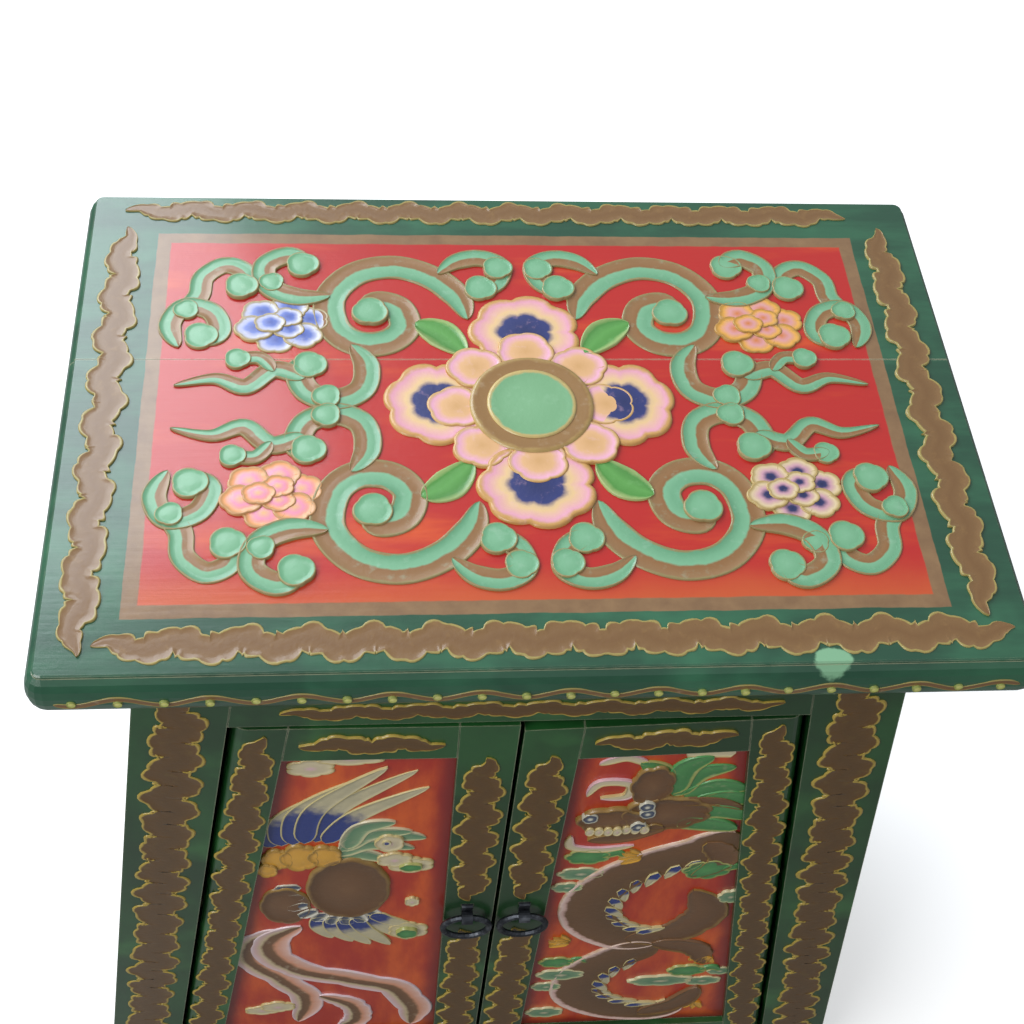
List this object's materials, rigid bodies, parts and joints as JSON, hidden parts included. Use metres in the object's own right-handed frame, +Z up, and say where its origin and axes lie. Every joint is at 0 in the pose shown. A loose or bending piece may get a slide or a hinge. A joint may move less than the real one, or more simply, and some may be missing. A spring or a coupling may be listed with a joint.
{
  "type": "painted wooden cabinet",
  "caption": "Low painted wooden cabinet with a moulded plank top, splayed sides, a pair of panelled doors on wooden pivots and iron ring pulls.",
  "frame": {"origin": "on the floor, under the middle of the cabinet's bounding box", "axes": "+Z up, -Y is the front with the doors, +X is to the right as seen from the front"},
  "size_m": [0.694, 0.4098, 0.8],
  "materials": {
    "green_paint": "glossy varnished green paint, worn at the edges",
    "red_paint": "glossy varnished red paint with raised painted ornament",
    "bare_wood": "plain sawn wood, matt",
    "iron": "dark forged iron"
  },
  "bodies": {
    "cabinet": {"top_board_front": "green_paint", "top_board_back": "green_paint", "top_batten_left": "bare_wood", "top_batten_right": "bare_wood", "post_front_left": "green_paint", "post_front_right": "green_paint", "post_back_left": "green_paint", "post_back_right": "green_paint", "front_top_rail": "green_paint", "front_bottom_rail": "green_paint", "back_top_rail": "bare_wood", "back_bottom_rail": "bare_wood", "side_top_rail_left": "green_paint", "side_top_rail_right": "green_paint", "side_bottom_rail_left": "green_paint", "side_bottom_rail_right": "green_paint", "side_panel_left": "green_paint", "side_panel_right": "green_paint", "bottom_bearer_left": "bare_wood", "bottom_bearer_right": "bare_wood", "shelf_bearer_left": "bare_wood", "shelf_bearer_right": "bare_wood", "door_stop": "bare_wood", "back_board_left": "bare_wood", "back_board_middle": "bare_wood", "back_board_right": "bare_wood", "bottom_board_front": "bare_wood", "bottom_board_back": "bare_wood", "shelf_board_front": "bare_wood", "shelf_board_back": "bare_wood"},
    "left_door": {"door_left_outer_stile": "green_paint", "door_left_inner_stile": "green_paint", "door_left_top_rail": "green_paint", "door_left_bottom_rail": "green_paint", "door_left_panel": "red_paint", "door_left_staple": "iron"},
    "right_door": {"door_right_outer_stile": "green_paint", "door_right_inner_stile": "green_paint", "door_right_top_rail": "green_paint", "door_right_bottom_rail": "green_paint", "door_right_panel": "red_paint", "door_right_staple": "iron"},
    "left_ring": {"door_left_ring": "iron"},
    "right_ring": {"door_right_ring": "iron"}
  },
  "joints": [
    {"name": "left_door_hinge", "type": "hinge", "parent": "cabinet", "child": "left_door", "pos_m": [-0.26114, -0.177, 0.1], "axis": [-0.1459, 0, -0.9893], "range_deg": [0, 95]},
    {"name": "right_door_hinge", "type": "hinge", "parent": "cabinet", "child": "right_door", "pos_m": [0.26114, -0.177, 0.1], "axis": [-0.1459, 0, 0.9893], "range_deg": [0, 95]},
    {"name": "left_ring_swing", "type": "hinge", "parent": "left_door", "child": "left_ring", "pos_m": [-0.022, -0.193, 0.425], "axis": [-1, 0, 0], "range_deg": [-4, 150]},
    {"name": "right_ring_swing", "type": "hinge", "parent": "right_door", "child": "right_ring", "pos_m": [0.022, -0.193, 0.425], "axis": [-1, 0, 0], "range_deg": [-4, 150]}
  ]
}
